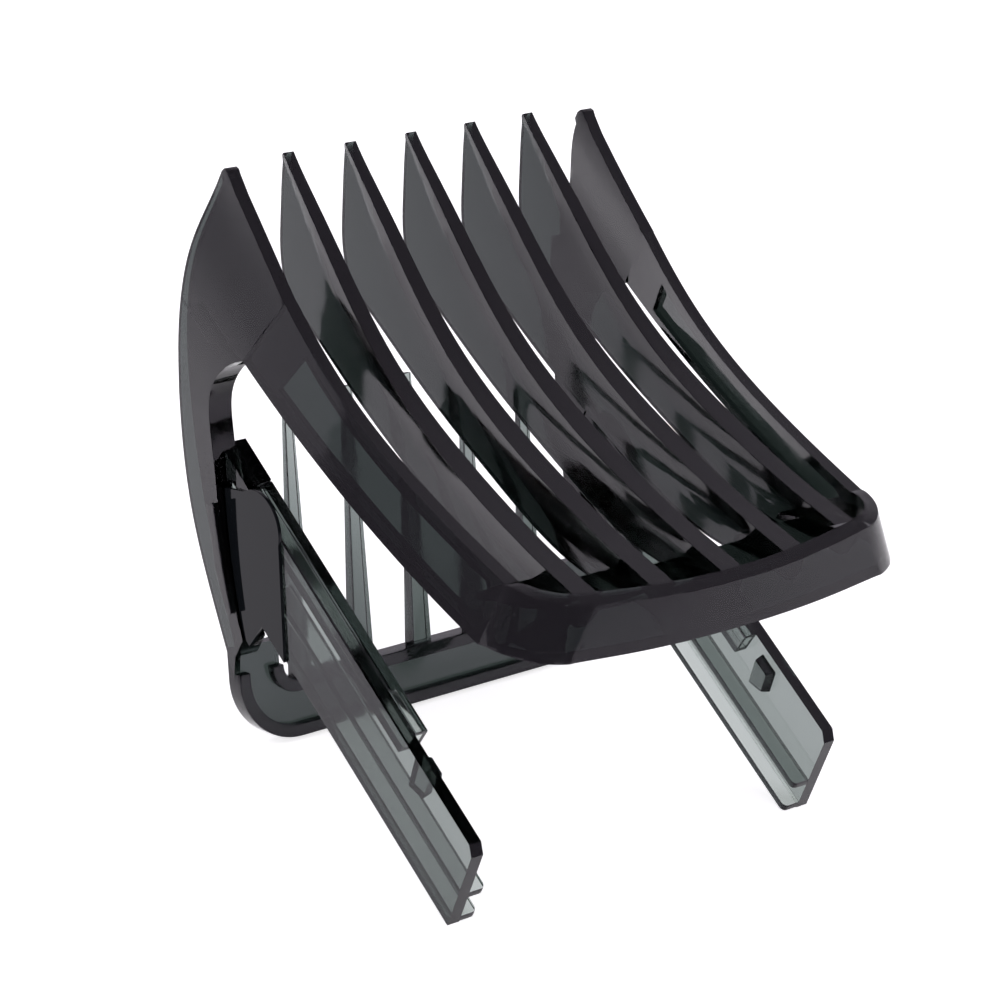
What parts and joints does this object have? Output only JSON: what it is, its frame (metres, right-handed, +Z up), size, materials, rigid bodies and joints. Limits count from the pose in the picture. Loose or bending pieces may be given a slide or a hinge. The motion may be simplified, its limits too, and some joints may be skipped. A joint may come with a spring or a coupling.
{
  "type": "clipper guard comb",
  "caption": "Adjustable hair-clipper guard comb: parallel curved blades on a skirt, two slotted slide rails, and a rear frame with upright ribs.",
  "frame": {"origin": "middle of the bounding box at the table the comb stands on, below the middle of the comb", "axes": "+Z up; the comb stands tilted on its two rail ends and the lower edge of its rear frame; +Y towards the blade tips and the rear frame, -Y towards the front bar and the rail ends; +X across the comb, the direction in which the blades repeat"},
  "size_m": [0.0556, 0.0644, 0.0656],
  "materials": {
    "smoke_dark": "gloss",
    "smoke_clear": "gloss"
  },
  "bodies": {
    "comb": {"blade_c": "smoke_dark", "blade_l1": "smoke_dark", "blade_l2": "smoke_dark", "blade_r1": "smoke_dark", "blade_r2": "smoke_dark", "fang_l": "smoke_dark", "fang_r": "smoke_dark", "front_bar": "smoke_dark", "leg_l": "smoke_dark", "leg_pad_l": "smoke_dark", "leg_pad_r": "smoke_dark", "leg_r": "smoke_dark", "pocket_webs": "smoke_dark", "rear_frame": "smoke_clear", "rear_hem": "smoke_clear", "rear_rim": "smoke_clear", "rib_c": "smoke_clear", "rib_l1": "smoke_clear", "rib_l2": "smoke_clear", "rib_r1": "smoke_clear", "rib_r2": "smoke_clear", "side_arch_l": "smoke_dark", "side_arch_r": "smoke_dark", "strip_root_l": "smoke_clear", "strip_root_r": "smoke_clear"},
    "rail_l": {"rail_low_flange_l": "smoke_clear", "rail_lug_l": "smoke_clear", "rail_mid_flange_l": "smoke_clear", "rail_strip_l": "smoke_clear", "rail_web_l": "smoke_clear", "root_boss_l": "smoke_dark"},
    "rail_r": {"rail_low_flange_r": "smoke_clear", "rail_lug_r": "smoke_clear", "rail_mid_flange_r": "smoke_clear", "rail_strip_r": "smoke_clear", "rail_web_r": "smoke_clear", "root_boss_r": "smoke_dark"}
  },
  "joints": [
    {"name": "rail_flex_r", "type": "hinge", "parent": "comb", "child": "rail_r", "pos_m": [0.025, 0.02373, 0.0284], "axis": [0, -0.4281, 0.9037], "range_deg": [-1.5, 1.5], "stiffness_Nm_per_rad": 0.4},
    {"name": "rail_flex_l", "type": "hinge", "parent": "comb", "child": "rail_l", "pos_m": [-0.025, 0.02373, 0.0284], "axis": [0, -0.4281, 0.9037], "range_deg": [-1.5, 1.5], "stiffness_Nm_per_rad": 0.4}
  ]
}
